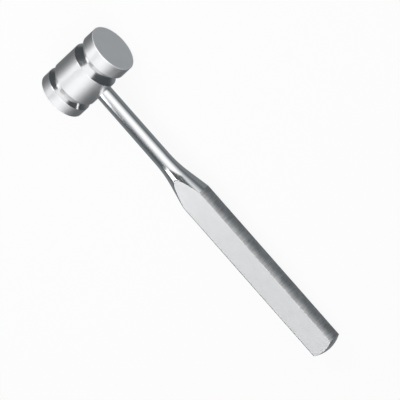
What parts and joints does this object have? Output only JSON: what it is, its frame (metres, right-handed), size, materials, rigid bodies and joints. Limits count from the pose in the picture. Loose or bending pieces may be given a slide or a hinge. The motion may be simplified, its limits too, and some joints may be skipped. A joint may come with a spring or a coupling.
{
  "type": "surgical mallet",
  "caption": "All-steel surgical mallet: round head with two flat striking faces and two V grooves, round neck flaring into a flat-sided grip with a domed butt.",
  "frame": {"origin": "middle of the overall length and width, on the plane that the head rests on when the mallet lies on its side", "axes": "+X along the handle towards the head, +Y along the head's axis towards the rear striking face, +Z out of the grip's upper flat"},
  "size_m": [0.222, 0.045, 0.03],
  "materials": {
    "head_steel": "satin, with polished grooves",
    "handle_steel": "polished neck and shoulder, satin grip flats, cross-ground grip sides",
    "weight_metal": "dull cast lead",
    "rod_steel": "plain turned"
  },
  "bodies": {
    "root": {"head_barrel": "head_steel", "front_striking_cap": "head_steel", "rear_striking_cap": "head_steel", "handle": "handle_steel", "front_weight": "weight_metal", "rear_weight": "weight_metal", "tie_rod": "rod_steel"}
  },
  "joints": []
}
